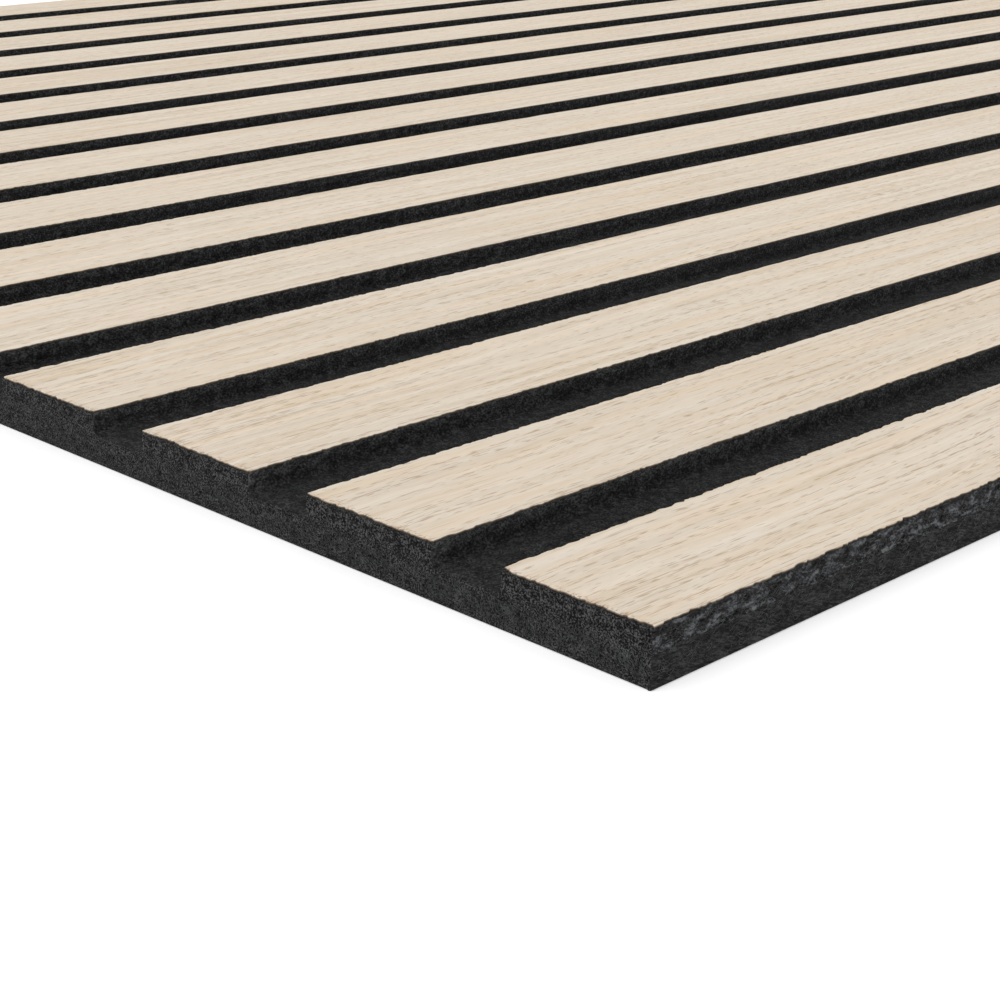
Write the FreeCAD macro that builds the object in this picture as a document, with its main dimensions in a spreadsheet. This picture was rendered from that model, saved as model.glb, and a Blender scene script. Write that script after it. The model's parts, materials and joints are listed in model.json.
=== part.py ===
# Acoustic slat wall panel: one board of black polyester felt, grooved along its
# length so that slats stand up from it, with a strip of thin oak veneer on each slat.
#
# The panel lies on its back, as it is stored. X runs across the slats, Y runs along
# them and +Z points out of the face. The origin is the middle of the back face.
# The first slat is flush with the long edge at +X. The last groove is open at the
# long edge at -X, so that the first slat of the next panel carries the spacing on.

import FreeCAD, Part
import math
import os

import Sketcher

# Driving dimensions in millimetres, and one count. Each one is written once, here.
SIZES = [
    ("slat_count", "15", "slats across the panel"),
    ("slat_width", "27", "width of a slat and of its veneer"),
    ("groove_width", "13", "gap between two slats"),
    ("panel_length", "2400", "length of the panel along the slats"),
    ("core_thickness", "8.7", "felt board, from its back to a slat's top"),
    ("groove_depth", "3.4", "depth that is milled into the felt"),
    ("groove_foot_radius", "0.8", "round that the cutter leaves at a slat's foot"),
    ("veneer_thickness", "0.3", "veneer that is glued on each slat"),
]

# Sizes that follow from the driving ones, as formulas for the features.
PITCH = "(sizes.slat_width + sizes.groove_width)"
PANEL_WIDTH = f"(sizes.slat_count * {PITCH})"
HALF_WIDTH = f"({PANEL_WIDTH} / 2)"
CLOSED_GROOVES = "sizes.slat_count - 1"

# A sketch's own origin, as an edge of the sketch and a point on that edge.
ORIGIN_POINT = (-1, 1)


def make_sheet(doc):
    """The spreadsheet that every feature is bound to, one named size in each row."""
    sheet = doc.addObject("Spreadsheet::Sheet", "sizes")
    for row, (name, value, meaning) in enumerate(SIZES, start=1):
        sheet.set(f"A{row}", name)
        sheet.set(f"B{row}", value)
        sheet.set(f"C{row}", meaning)
        sheet.setAlias(f"B{row}", name)
    doc.recompute()
    return sheet


def make_body(doc, label):
    """An empty body, whose label is the name of the piece."""
    body = doc.addObject("PartDesign::Body", label)
    body.Label = label
    return body


def origin_part(body, role):
    """A plane or an axis of the body's own origin, such as XY_Plane or X_Axis."""
    return next(part for part in body.Origin.OriginFeatures if part.Role == role)


def make_sketch(body, name, plane):
    """An empty sketch on one of the body's origin planes."""
    sketch = body.newObject("Sketcher::SketchObject", name)
    sketch.AttachmentSupport = [(origin_part(body, plane), "")]
    sketch.MapMode = "FlatFace"
    return sketch


def start(edge):
    """The point at which a line or an arc of a sketch starts."""
    return edge, 1


def finish(edge):
    """The point at which a line or an arc of a sketch ends."""
    return edge, 2


def relate(sketch, kind, *ends):
    """Adds one geometric rule to the sketch, such as Horizontal or Tangent."""
    sketch.addConstraint(Sketcher.Constraint(kind, *ends))


def dimension(sketch, name, formula, kind, *ends):
    """Adds one dimension to the sketch and ties it to a formula of named sizes."""
    value = float(sketch.evalExpression(formula))
    index = sketch.addConstraint(Sketcher.Constraint(kind, *ends, value))
    sketch.renameConstraint(index, name)
    sketch.setExpression(f"Constraints.{name}", formula)


def draw_rectangle(sketch, wide, tall):
    """A rectangle centred on the sketch's origin. Both sizes are formulas."""
    corners = [(-1, -1), (1, -1), (1, 1), (-1, 1)]
    points = [FreeCAD.Vector(x, y, 0) for x, y in corners]
    bottom, right, top, left = (
        sketch.addGeometry(Part.LineSegment(points[i], points[(i + 1) % 4])) for i in range(4)
    )
    sides = [bottom, right, top, left]
    for here, following in zip(sides, sides[1:] + sides[:1]):
        relate(sketch, "Coincident", *finish(here), *start(following))
    for level in (bottom, top):
        relate(sketch, "Horizontal", level)
    for upright in (right, left):
        relate(sketch, "Vertical", upright)
    relate(sketch, "Symmetric", *start(bottom), *start(top), *ORIGIN_POINT)
    dimension(sketch, "wide", wide, "DistanceX", *start(bottom), *finish(bottom))
    dimension(sketch, "tall", tall, "DistanceY", *start(right), *finish(right))


def draw_groove(sketch, sheet, left, open_left=False):
    """The section of a groove, from the slats' top down, with a round under each slat.

    left is the X of its left side, where the drawing starts before the dimensions
    hold it. An open groove has no slat, and so no round, at its left. Returns the
    left and the right side, for the dimension that places the groove.
    """
    right = left + sheet.groove_width
    top = sheet.core_thickness
    floor = top - sheet.groove_depth
    foot = sheet.groove_foot_radius
    left_foot = 0 if open_left else foot

    def add_line(x0, z0, x1, z1):
        ends = FreeCAD.Vector(x0, z0, 0), FreeCAD.Vector(x1, z1, 0)
        return sketch.addGeometry(Part.LineSegment(*ends))

    def add_round(centre_x, start_angle):
        centre = FreeCAD.Vector(centre_x, floor + foot, 0)
        circle = Part.Circle(centre, FreeCAD.Vector(0, 0, 1), foot)
        quarter = Part.ArcOfCircle(circle, start_angle, start_angle + math.pi / 2)
        return sketch.addGeometry(quarter)

    mouth = add_line(right, top, left, top)
    left_side = add_line(left, top, left, floor + left_foot)
    left_round = [] if open_left else [add_round(left + foot, math.pi)]
    flat = add_line(left + left_foot, floor, right - foot, floor)
    right_round = [add_round(right - foot, 1.5 * math.pi)]
    right_side = add_line(right, floor + foot, right, top)

    outline = [mouth, left_side, *left_round, flat, *right_round, right_side]
    rounds = left_round + right_round
    for here, following in zip(outline, outline[1:] + outline[:1]):
        smooth = here in rounds or following in rounds
        relate(sketch, "Tangent" if smooth else "Coincident", *finish(here), *start(following))
    for level in (mouth, flat):
        relate(sketch, "Horizontal", level)
    for upright in (left_side, right_side):
        relate(sketch, "Vertical", upright)
    for other in rounds[1:]:
        relate(sketch, "Equal", rounds[0], other)
    dimension(sketch, "foot_radius", "sizes.groove_foot_radius", "Radius", rounds[0])
    dimension(sketch, "groove_width", "sizes.groove_width", "DistanceX", *finish(mouth), *start(mouth))
    dimension(sketch, "groove_depth", "sizes.groove_depth", "DistanceY", *finish(flat), *start(mouth))
    dimension(sketch, "slat_top", "sizes.core_thickness", "DistanceY", *ORIGIN_POINT, *start(mouth))
    return left_side, right_side


def pad(body, sketch, name, height):
    """Raises the sketch to a height, which is a formula."""
    feature = body.newObject("PartDesign::Pad", name)
    feature.Profile = sketch
    feature.setExpression("Length", height)
    return feature


def cut_along(body, sketch, name):
    """Cuts the sketch out of the body over its whole length, both ways."""
    feature = body.newObject("PartDesign::Pocket", name)
    feature.Profile = sketch
    feature.Type = "ThroughAll"
    feature.SideType = "Symmetric"
    return feature


def make_felt_board(doc, sheet):
    """The felt board: a plain board, a groove, its pattern and the open groove."""
    body = make_body(doc, "felt_board")
    outline = make_sketch(body, "board_outline", "XY_Plane")
    draw_rectangle(outline, PANEL_WIDTH, "sizes.panel_length")
    pad(body, outline, "plain_board", "sizes.core_thickness")

    half_width = sheet.slat_count * (sheet.slat_width + sheet.groove_width) / 2
    section = make_sketch(body, "groove_section", "XZ_Plane")
    left = half_width - sheet.slat_width - sheet.groove_width
    _, right_side = draw_groove(section, sheet, left)
    first_slat_foot = f"{HALF_WIDTH} - sizes.slat_width"
    to_foot = *ORIGIN_POINT, *finish(right_side)
    dimension(section, "first_slat_foot", first_slat_foot, "DistanceX", *to_foot)
    groove = cut_along(body, section, "first_groove")

    pattern = body.newObject("PartDesign::LinearPattern", "closed_grooves")
    pattern.Originals = [groove]
    pattern.Direction = (origin_part(body, "X_Axis"), [""])
    pattern.Reversed = True
    pattern.Mode = "Spacing"
    pattern.setExpression("Offset", PITCH)
    pattern.setExpression("Occurrences", CLOSED_GROOVES)
    body.Tip = pattern
    doc.recompute()

    open_section = make_sketch(body, "open_groove_section", "XZ_Plane")
    left_side, _ = draw_groove(open_section, sheet, -half_width, open_left=True)
    from_edge = *start(left_side), *ORIGIN_POINT
    dimension(open_section, "panel_edge", HALF_WIDTH, "DistanceX", *from_edge)
    body.Tip = cut_along(body, open_section, "open_groove")
    return body


def make_veneer_strip(doc, number):
    """One strip of veneer, on the slat with this number, counted from the +X edge."""
    body = make_body(doc, f"veneer_strip_{number:02d}")
    outline = make_sketch(body, "strip_outline", "XY_Plane")
    draw_rectangle(outline, "sizes.slat_width", "sizes.panel_length")
    body.Tip = pad(body, outline, "strip", "sizes.veneer_thickness")
    steps = number - 1
    slat_middle = f"{HALF_WIDTH} - sizes.slat_width / 2 - {steps} * {PITCH}"
    body.setExpression("Placement.Base.x", slat_middle)
    body.setExpression("Placement.Base.z", "sizes.core_thickness")
    return body


def groove_area(sheet, rounds):
    """Area of a groove's section: its rectangle less what each round leaves."""
    left_by_round = (1 - math.pi / 4) * sheet.groove_foot_radius**2
    return sheet.groove_width * sheet.groove_depth - rounds * left_by_round


def check_document(doc):
    """Stops if any object failed, or if a sketch can still move."""
    for item in doc.Objects:
        if {"Invalid", "Error"} & set(item.State):
            raise RuntimeError(f"{item.Name} failed: {item.State}")
        if item.TypeId == "Sketcher::SketchObject" and not item.FullyConstrained:
            raise RuntimeError(f"{item.Name} is not fully constrained")


def check_piece(piece, expected_volume):
    """Stops unless the piece is one valid solid of the volume that its sizes give."""
    shape = piece.Shape
    if shape.isNull() or not shape.isValid() or len(shape.Solids) != 1:
        raise RuntimeError(f"{piece.Label} is not one valid solid")
    if not math.isclose(shape.Volume, expected_volume, rel_tol=1e-6):
        raise RuntimeError(f"{piece.Label}: {shape.Volume} mm3, not {expected_volume}")


def main():
    doc = FreeCAD.newDocument("acoustic_slat_panel")
    sheet = make_sheet(doc)
    board = make_felt_board(doc, sheet)
    strips = [make_veneer_strip(doc, number) for number in range(1, sheet.slat_count + 1)]
    doc.recompute()
    check_document(doc)

    pitch = sheet.slat_width + sheet.groove_width
    whole_section = sheet.slat_count * pitch * sheet.core_thickness
    closed = (sheet.slat_count - 1) * groove_area(sheet, rounds=2)
    opened = groove_area(sheet, rounds=1)
    check_piece(board, (whole_section - closed - opened) * sheet.panel_length)
    strip_section = sheet.slat_width * sheet.veneer_thickness
    for strip in strips:
        check_piece(strip, strip_section * sheet.panel_length)

    os.makedirs("parts", exist_ok=True)
    for piece in [board, *strips]:
        piece.Shape.exportStep(f"parts/{piece.Label}.step")
        print(f"{piece.Label}: {piece.Shape.Volume / 1000:.1f} cm3")


main()
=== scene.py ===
"""Looks of an acoustic slat wall panel: milled black felt with oak veneer on its slats.

The felt board and the veneer strips are worked out as numpy surfaces round the packed
solids. Lengths inside the functions are in millimetres, and meshes are in metres.
"""

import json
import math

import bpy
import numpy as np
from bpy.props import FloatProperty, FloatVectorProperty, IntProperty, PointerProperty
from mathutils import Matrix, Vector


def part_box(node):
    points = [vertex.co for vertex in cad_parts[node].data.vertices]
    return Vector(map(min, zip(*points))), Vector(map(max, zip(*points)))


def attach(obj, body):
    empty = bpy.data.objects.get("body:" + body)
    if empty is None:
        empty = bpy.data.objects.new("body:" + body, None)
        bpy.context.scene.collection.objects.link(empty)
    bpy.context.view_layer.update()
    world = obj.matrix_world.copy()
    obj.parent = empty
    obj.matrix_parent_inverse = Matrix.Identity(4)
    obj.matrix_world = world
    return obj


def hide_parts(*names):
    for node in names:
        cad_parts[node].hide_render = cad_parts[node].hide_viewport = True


bl_info = {
    "name": "Acoustic slat panel",
    "version": (1, 0, 0),
    "blender": (4, 5, 0),
    "location": "3D View > Sidebar > Slat Panel",
    "description": "Felt board, veneer strips and studio of an acoustic slat wall panel",
    "category": "Add Mesh",
}

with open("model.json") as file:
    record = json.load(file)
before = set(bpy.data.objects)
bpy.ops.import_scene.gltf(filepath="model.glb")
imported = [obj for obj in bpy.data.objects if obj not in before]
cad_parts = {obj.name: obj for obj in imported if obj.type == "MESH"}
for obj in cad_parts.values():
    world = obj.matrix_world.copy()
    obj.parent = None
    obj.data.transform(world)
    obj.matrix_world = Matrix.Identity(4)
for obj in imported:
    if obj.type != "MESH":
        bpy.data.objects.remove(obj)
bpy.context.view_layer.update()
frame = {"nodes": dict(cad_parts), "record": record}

MM = 0.001
BODY = "root"
BOARD_NODE = "felt_board"
STRIP_NODES = sorted(name for name in frame["nodes"] if name.startswith("veneer_strip"))

# Sizes of the packed panel, in millimetres.
BOARD_LOW, BOARD_HIGH = (np.array(corner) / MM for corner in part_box(BOARD_NODE))
STRIP_BOXES = [np.array(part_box(name)) / MM for name in STRIP_NODES]
MOUNTS = {mount["name"]: mount for mount in frame["record"]["mounts"]}
FLOOR_Z = MOUNTS["groove_floor"]["pos_m"][2] / MM
SLAT_TOP = BOARD_HIGH[2]
VENEER_TOP = STRIP_BOXES[0][1][2]


def linear(hex_colour):
    """An sRGB hex colour as linear red, green, blue and alpha."""
    channels = np.array([int(hex_colour[i : i + 2], 16) for i in (1, 3, 5)]) / 255
    low = channels / 12.92
    high = ((channels + 0.055) / 1.055) ** 2.4
    return (*np.where(channels <= 0.04045, low, high), 1.0)


# Random heights

# Large odd factors for a cell's three numbers, for the seed and for their sum, which
# make near cells unlike each other. The last 32 bits of a product are kept.
X_FACTOR, Y_FACTOR, Z_FACTOR = 374761393, 668265263, 1103515245
SEED_FACTOR, SUM_FACTOR = 97531, 1274126177
LAST_BITS = 0xFFFFFFFF


def lattice_values(cells, seed):
    """A random value from -1 to 1 for each whole-number cell, by mixing its bits."""
    i, j, k = (cells[..., axis].astype(np.int64) for axis in range(3))
    mixed = i * X_FACTOR + j * Y_FACTOR + k * Z_FACTOR + seed * SEED_FACTOR
    mixed = mixed & LAST_BITS
    mixed = ((mixed ^ (mixed >> 13)) * SUM_FACTOR) & LAST_BITS
    mixed = mixed ^ (mixed >> 16)
    return mixed / 2**31 - 1


def lumps(points, cell, seed):
    """Smooth random heights from -1 to 1 over points in millimetres.

    Each corner of a grid of cubes of the cell size has a random value, and between
    the corners the values are blended by 3t^2 - 2t^3 along each axis.
    """
    places = points / np.asarray(cell, float)
    base = np.floor(places)
    t = places - base
    weight = t * t * (3 - 2 * t)
    total = np.zeros(places.shape[:-1])
    for corner in np.ndindex(2, 2, 2):
        share = np.where(corner, weight, 1 - weight).prod(axis=-1)
        total += share * lattice_values(base + corner, seed)
    return total


# The steps have stopped growing long before this power, which keeps the numbers finite.
HIGHEST_POWER = 400


def stations(low, high, fine, fine_run, growth, coarse):
    """Places along the slats, close together near the low end and wider beyond.

    The step is the fine one over fine_run, then grows by the same share each time
    until it is the coarse one.
    """
    fine_steps = np.full(round(fine_run / fine), fine)
    powers = np.minimum(np.arange(1, (high - low) / fine), HIGHEST_POWER)
    steps = np.concatenate([fine_steps, np.minimum(fine * growth**powers, coarse)])
    places = low + np.concatenate([[0], np.cumsum(steps)])
    return np.append(places[places < high - steps[-1] / 2], high)


# Meshes


def add_piece(name, points, face_groups, materials, nodes):
    """A mesh piece from points in millimetres and arrays of faces with one material.

    face_groups is a list of (faces, material number), where all the faces of one
    array have the same number of corners. The piece rides on the panel's only body.
    """
    loops = np.concatenate([faces.ravel() for faces, _ in face_groups])
    totals = np.concatenate([np.full(len(faces), faces.shape[1]) for faces, _ in face_groups])
    numbers = np.concatenate([np.full(len(faces), number) for faces, number in face_groups])
    starts = np.concatenate([[0], np.cumsum(totals)[:-1]])
    mesh = bpy.data.meshes.new(name)
    mesh.vertices.add(len(points))
    mesh.vertices.foreach_set("co", (points * MM).astype(np.float32).ravel())
    mesh.loops.add(len(loops))
    mesh.loops.foreach_set("vertex_index", loops.astype(np.int32))
    mesh.polygons.add(len(totals))
    mesh.polygons.foreach_set("loop_start", starts.astype(np.int32))
    mesh.polygons.foreach_set("loop_total", totals.astype(np.int32))
    mesh.polygons.foreach_set("material_index", numbers.astype(np.int32))
    for material in materials:
        mesh.materials.append(material)
    mesh.update(calc_edges=True)
    mesh.validate()
    piece = bpy.data.objects.new(name, mesh)
    bpy.context.scene.collection.objects.link(piece)
    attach(piece, BODY)
    if nodes:
        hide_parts(*nodes)
    return piece


def set_attribute(piece, name, values):
    """Stores one number for each vertex, which a material can read by its name."""
    attribute = piece.data.attributes.new(name, "FLOAT", "POINT")
    attribute.data.foreach_set("value", np.asarray(values, np.float32))


def shade_smooth(piece, sharp_above):
    """Smooth shading, with edges kept sharp where faces turn by more than the angle."""
    piece.data.polygons.foreach_set("use_smooth", np.ones(len(piece.data.polygons), bool))
    piece.data.set_sharp_from_angle(angle=sharp_above)


def between_rows(numbers):
    """Four-sided faces between the rows of a grid of vertex numbers, facing outwards."""
    corners = numbers[:-1, :-1], numbers[:-1, 1:], numbers[1:, 1:], numbers[1:, :-1]
    return np.stack(corners, axis=-1).reshape(-1, 4)


# Felt board

# Numbers of the board's finishes: knife cut, milled edge, milled groove and cross cut.
CUT, BAND, GROOVE, END = 0, 1, 2, 3

# Places along the board, in millimetres. The long side has FINER times as many.
BOARD_STATIONS = {"fine": 0.9, "fine_run": 100, "growth": 1.07, "coarse": 40}
FINER = 3

# Steps of the section: a groove's wall, a slat's foot, a groove's floor, a slat's top,
# the open side and the back, and the long side below its seam and above it.
WALL_STEPS, FOOT_STEPS, FLOOR_STEPS, TOP_STEPS = 5, 3, 7, 2
PLAIN_STEPS, LOWER_STEPS, UPPER_STEPS = 4, 7, 11

# Heights of the lumps on a knife-cut side, the width of the faces that join the fine
# part of the section to the coarse one, and how far the long side's seam lies below
# the grooves' floor, in millimetres.
CUT_LUMPS, LONG_SIDE_LUMPS = 0.02, 0.03
JOIN_WIDTH = 0.8
SEAM_DROP = 0.15

# A lump's size along X, Y and Z as shares of its width, and what the large lumps and
# the small ones add to a tuft.
LUMP_SHAPE = np.array([1.0, 1.4, 0.8])
LARGE_SHARE, SMALL_SHARE = 0.55, 0.45
LARGE_SEED, SMALL_SEED = 3, 11

# Edges stay sharp where two faces turn by more than this.
BOARD_SHARP, STRIP_SHARP = math.radians(38), math.radians(20)


def straight(start, end, steps, normal, height, finish):
    """Profile points from start to before end, as (x, z, normal, height, finish)."""
    share = np.linspace(0, 1, steps, endpoint=False)[:, None]
    places = np.array(start) * (1 - share) + np.array(end) * share
    same = np.array([*normal, height, finish], float)
    return np.hstack([places, np.tile(same, (steps, 1))])


def corner(place, normal, height, finish):
    """A single profile point."""
    return straight(place, place, 1, normal, height, finish)


def foot_round(centre, radius, from_angle, to_angle, height):
    """A quarter round at a slat's foot: centre + radius * (cos a, sin a)."""
    angles = np.radians(np.linspace(from_angle, to_angle, FOOT_STEPS, endpoint=False))
    spoke = np.stack([np.cos(angles), np.sin(angles)], axis=-1)
    rest = np.tile([height, GROOVE], (FOOT_STEPS, 1))
    return np.hstack([np.array(centre) + radius * spoke, -spoke, rest])


def groove_profile(right, left, settings, is_open):
    """Down a slat's wall, round its foot, along the floor and up the next wall."""
    foot = settings.foot_radius / MM
    rough = settings.wall_lumps / MM
    wall_foot = FLOOR_Z + foot
    floor_end, floor_steps = (left, FLOOR_STEPS + 1) if is_open else (left + foot, FLOOR_STEPS)
    floor = (right - foot, FLOOR_Z), (floor_end, FLOOR_Z)
    parts = [
        straight((right, SLAT_TOP), (right, wall_foot), WALL_STEPS, (-1, 0), rough, GROOVE),
        foot_round((right - foot, wall_foot), foot, 0, -90, rough),
        straight(*floor, floor_steps, (0, 1), rough, GROOVE),
    ]
    if not is_open:
        parts += [
            foot_round((left + foot, wall_foot), foot, -90, -180, rough),
            straight((left, wall_foot), (left, SLAT_TOP), WALL_STEPS, (1, 0), rough, GROOVE),
        ]
    return np.vstack(parts)


def board_profile(settings):
    """The coarse part of the section, from the first slat's top round to the bottom."""
    parts = []
    for number, (low, high) in enumerate(STRIP_BOXES):
        right, left = high[0], low[0]
        begin = right - JOIN_WIDTH if number == 0 else right
        parts.append(straight((begin, SLAT_TOP), (left, SLAT_TOP), TOP_STEPS, (0, 1), 0, CUT))
        is_last = number == len(STRIP_BOXES) - 1
        groove_left = BOARD_LOW[0] if is_last else STRIP_BOXES[number + 1][1][0]
        parts.append(groove_profile(left, groove_left, settings, is_last))
    edge, soft = BOARD_LOW[0], settings.edge_round / MM
    back_end = BOARD_HIGH[0] - JOIN_WIDTH
    parts += [
        straight((edge, FLOOR_Z), (edge, soft), PLAIN_STEPS, (-1, 0), CUT_LUMPS, CUT),
        corner((edge, soft), (-1, 0), CUT_LUMPS, CUT),
        straight((edge + soft, 0), (back_end, 0), PLAIN_STEPS, (0, -1), 0, CUT),
        corner((back_end, 0), (0, -1), 0, CUT),
    ]
    return np.vstack(parts)


def long_side_profile(settings):
    """The fine part of the section: the long side, cut below and milled above."""
    edge, soft = BOARD_HIGH[0], settings.edge_round / MM
    rough, seam = settings.edge_lumps / MM, FLOOR_Z - SEAM_DROP
    parts = [
        corner((edge - soft, 0), (1, 0), CUT_LUMPS, CUT),
        straight((edge, soft), (edge, seam), LOWER_STEPS, (1, 0), LONG_SIDE_LUMPS, CUT),
        straight((edge, seam), (edge, SLAT_TOP), UPPER_STEPS, (1, 0), rough, BAND),
        corner((edge, SLAT_TOP), (1, 0), rough, BAND),
    ]
    return np.vstack(parts)


def sweep_profile(profile, along, settings):
    """Carries a profile along Y and moves its points out and in by random heights.

    A point is (x, z) + normal * height * (large lumps + small lumps) at each place
    along Y. At both ends the outline is drawn in a little, so that the edge is soft.
    Returns the points, and the lumps alone from -1 to 1 for the material.
    """
    x, z, normal_x, normal_z, height, _ = (column[:, None] for column in profile.T)
    grid_y = np.tile(along, (len(profile), 1))
    points = np.stack([x + 0 * grid_y, grid_y, z + 0 * grid_y], axis=-1)
    large = lumps(points, settings.large_lump / MM * LUMP_SHAPE, LARGE_SEED)
    small = lumps(points, settings.small_lump / MM * LUMP_SHAPE, SMALL_SEED)
    tufts = LARGE_SHARE * large + SMALL_SHARE * small
    rise = height * tufts
    soft = settings.edge_round / MM
    from_end = np.minimum(along - along[0], along[-1] - along)
    rise = rise - soft * np.clip(1 - from_end / soft, 0, 1)
    points[..., 0] += normal_x * rise
    points[..., 2] += normal_z * rise
    return points, tufts


def join_rows(fine_row, coarse_row, fine_first):
    """Faces between a fine row of vertices and a coarse one, which has fewer of them.

    Each face has two corners on the coarse row and FINER + 1 on the fine one, so that
    no gap is left between the two.
    """
    ends = range(FINER)
    fine = np.stack([fine_row[i : len(fine_row) - FINER + i : FINER] for i in ends], axis=-1)
    fine = np.column_stack([fine, fine_row[FINER::FINER]])
    here, following = coarse_row[:-1, None], coarse_row[1:, None]
    if fine_first:
        return np.hstack([fine, following, here])
    return np.hstack([here, following, fine[:, ::-1]])


def felt_board(settings, materials):
    """The whole felt board as one closed mesh, with finer steps on the long side.

    Both parts of the section are carried along the board, joined by faces that lead from
    the fine steps to the coarse ones, and closed by one face at each end.
    """
    near, far = BOARD_LOW[1], BOARD_HIGH[1]
    soft = settings.edge_round / MM
    inner = stations(near + soft, far - soft, **BOARD_STATIONS)
    along = np.concatenate([[near], inner, [far]])
    share = np.arange(FINER) / FINER
    finer = along[:-1, None] * (1 - share) + along[1:, None] * share
    finer = np.append(finer.ravel(), far)

    side, rest = long_side_profile(settings), board_profile(settings)
    side_points, side_tufts = sweep_profile(side, finer, settings)
    rest_points, rest_tufts = sweep_profile(rest, along, settings)
    side_numbers = np.arange(len(side) * len(finer)).reshape(len(side), -1)
    rest_numbers = side_numbers.size + np.arange(len(rest) * len(along)).reshape(len(rest), -1)

    groups = []
    for numbers, profile in ((side_numbers, side), (rest_numbers, rest)):
        finish = profile[:-1, 5].astype(int)
        for kind in (CUT, BAND, GROOVE):
            rows = np.flatnonzero(finish == kind)
            if not len(rows):
                continue
            faces = [between_rows(numbers[row : row + 2]) for row in rows]
            groups.append((np.vstack(faces), kind))
    groups.append((join_rows(side_numbers[-1], rest_numbers[0], True), CUT))
    groups.append((join_rows(side_numbers[0], rest_numbers[-1], False), CUT))
    ring = np.concatenate([side_numbers[:, 0], rest_numbers[:, 0]])
    far_ring = np.concatenate([side_numbers[:, -1], rest_numbers[:, -1]])
    groups.append((ring[None, :], END))
    groups.append((far_ring[None, ::-1], END))
    points = np.vstack([side_points.reshape(-1, 3), rest_points.reshape(-1, 3)])
    board = add_piece(BOARD_NODE + "_surface", points, groups, materials, [BOARD_NODE])
    set_attribute(board, "tuft", np.concatenate([side_tufts.ravel(), rest_tufts.ravel()]))
    shade_smooth(board, BOARD_SHARP)
    return board


# Veneer strips

# Places along a strip and steps across its ends, in millimetres and as a count.
STRIP_STATIONS = {"fine": 0.3, "fine_run": 110, "growth": 1.045, "coarse": 8}
END_STEPS = 120

# Lengths of an edge's slow waves, of its coarse and fine teeth and of a chip, the teeth's
# share of the roughness, and the level that they start from.
WAVE_LENGTH, TEETH_LENGTHS, CHIP_LENGTH = 38.0, (1.3, 0.6), 1.5
TEETH_SHARE, TEETH_LEVEL = 0.3, 0.2

# How fast a corner's wear fades along the end, for each millimetre, and how rare deep
# wear is, as a power of an even chance.
WEAR_FADE, WEAR_POWER = 1.4, 4

# The seed of the corners' chances and the third number of their cells, and the steps
# from the seed of a strip's right edge to those of its other edges.
WEAR_SEED, WEAR_LEVEL = 211, 9
LEFT_SEED, NEAR_SEED, FAR_SEED = 7, 13, 19

# The rim's shade at its foot, at its middle, at its top and on the strip's face.
RIM_SHADES = [1.0, 0.8, 0.35, 0.0]


def edge_loss(places, across, wave, rough, settings, seed):
    """How far a veneer edge falls short of its straight line, in millimetres.

    The edge waves slowly and is finely ragged, with short stretches that are whole.
    Where a random height passes a threshold a chip is missing, deeper the further it
    passes.
    """
    points = np.stack([places, np.full_like(places, across), np.zeros_like(places)], -1)
    waves = 0.5 * (1 + lumps(points, WAVE_LENGTH, seed))
    teeth = sum(lumps(points, size, seed + i) for i, size in enumerate(TEETH_LENGTHS, start=1))
    ragged = np.clip(TEETH_LEVEL + TEETH_SHARE * teeth, 0, 1)
    chip = np.clip(lumps(points, CHIP_LENGTH, seed + 3) - settings.chip_threshold, 0, 1)
    return (wave * waves + rough * ragged + settings.chip_depth * chip) / MM


def worn_corners(places, wear):
    """What the corners' wear takes from an end, halved about every half millimetre."""
    at_left = wear[0] * np.exp(-WEAR_FADE * (places - places[0]))
    at_right = wear[1] * np.exp(-WEAR_FADE * (places[-1] - places))
    return (at_left + at_right) / MM


def strip_outline(box, settings):
    """The ragged outline of a strip, and how many of its points lie on one long side.

    It runs along the right edge, the far end, the left edge and the near end. The ends
    start inside the edges' corners, so that the outline never crosses itself.
    """
    (left, near, _), (right, far, _) = box
    seed = round(right)
    along = stations(near, far, **STRIP_STATIONS)
    share = np.linspace(0, 1, END_STEPS)
    milled = settings.edge_wave, settings.edge_rough
    right_x = right - edge_loss(along, right, *milled, settings, seed)
    left_x = left + edge_loss(along, left, *milled, settings, seed + LEFT_SEED)
    sawn = settings.end_wave, settings.end_rough
    inset = (settings.corner_wear + settings.chip_depth + sum(sawn)) / MM
    sides = (along > near + inset) & (along < far - inset)
    near_x, far_x = (
        left_x[sides][end] * (1 - share) + right_x[sides][end] * share for end in (0, -1)
    )
    corners = np.array([[[x, y, WEAR_LEVEL] for x in (left, right)] for y in (near, far)])
    chance = 0.5 + 0.5 * lattice_values(corners.round(), WEAR_SEED)
    wear = settings.corner_wear * chance**WEAR_POWER
    near_y = near + edge_loss(near_x, near, *sawn, settings, seed + NEAR_SEED)
    near_y = near_y + worn_corners(near_x, wear[0])
    far_y = far - edge_loss(far_x, far, *sawn, settings, seed + FAR_SEED)
    far_y = far_y - worn_corners(far_x, wear[1])
    outline_x = np.concatenate([right_x[sides], far_x[::-1], left_x[sides][::-1], near_x])
    outline_y = np.concatenate([along[sides], far_y[::-1], along[sides][::-1], near_y])
    return outline_x, outline_y, np.count_nonzero(sides)


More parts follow.
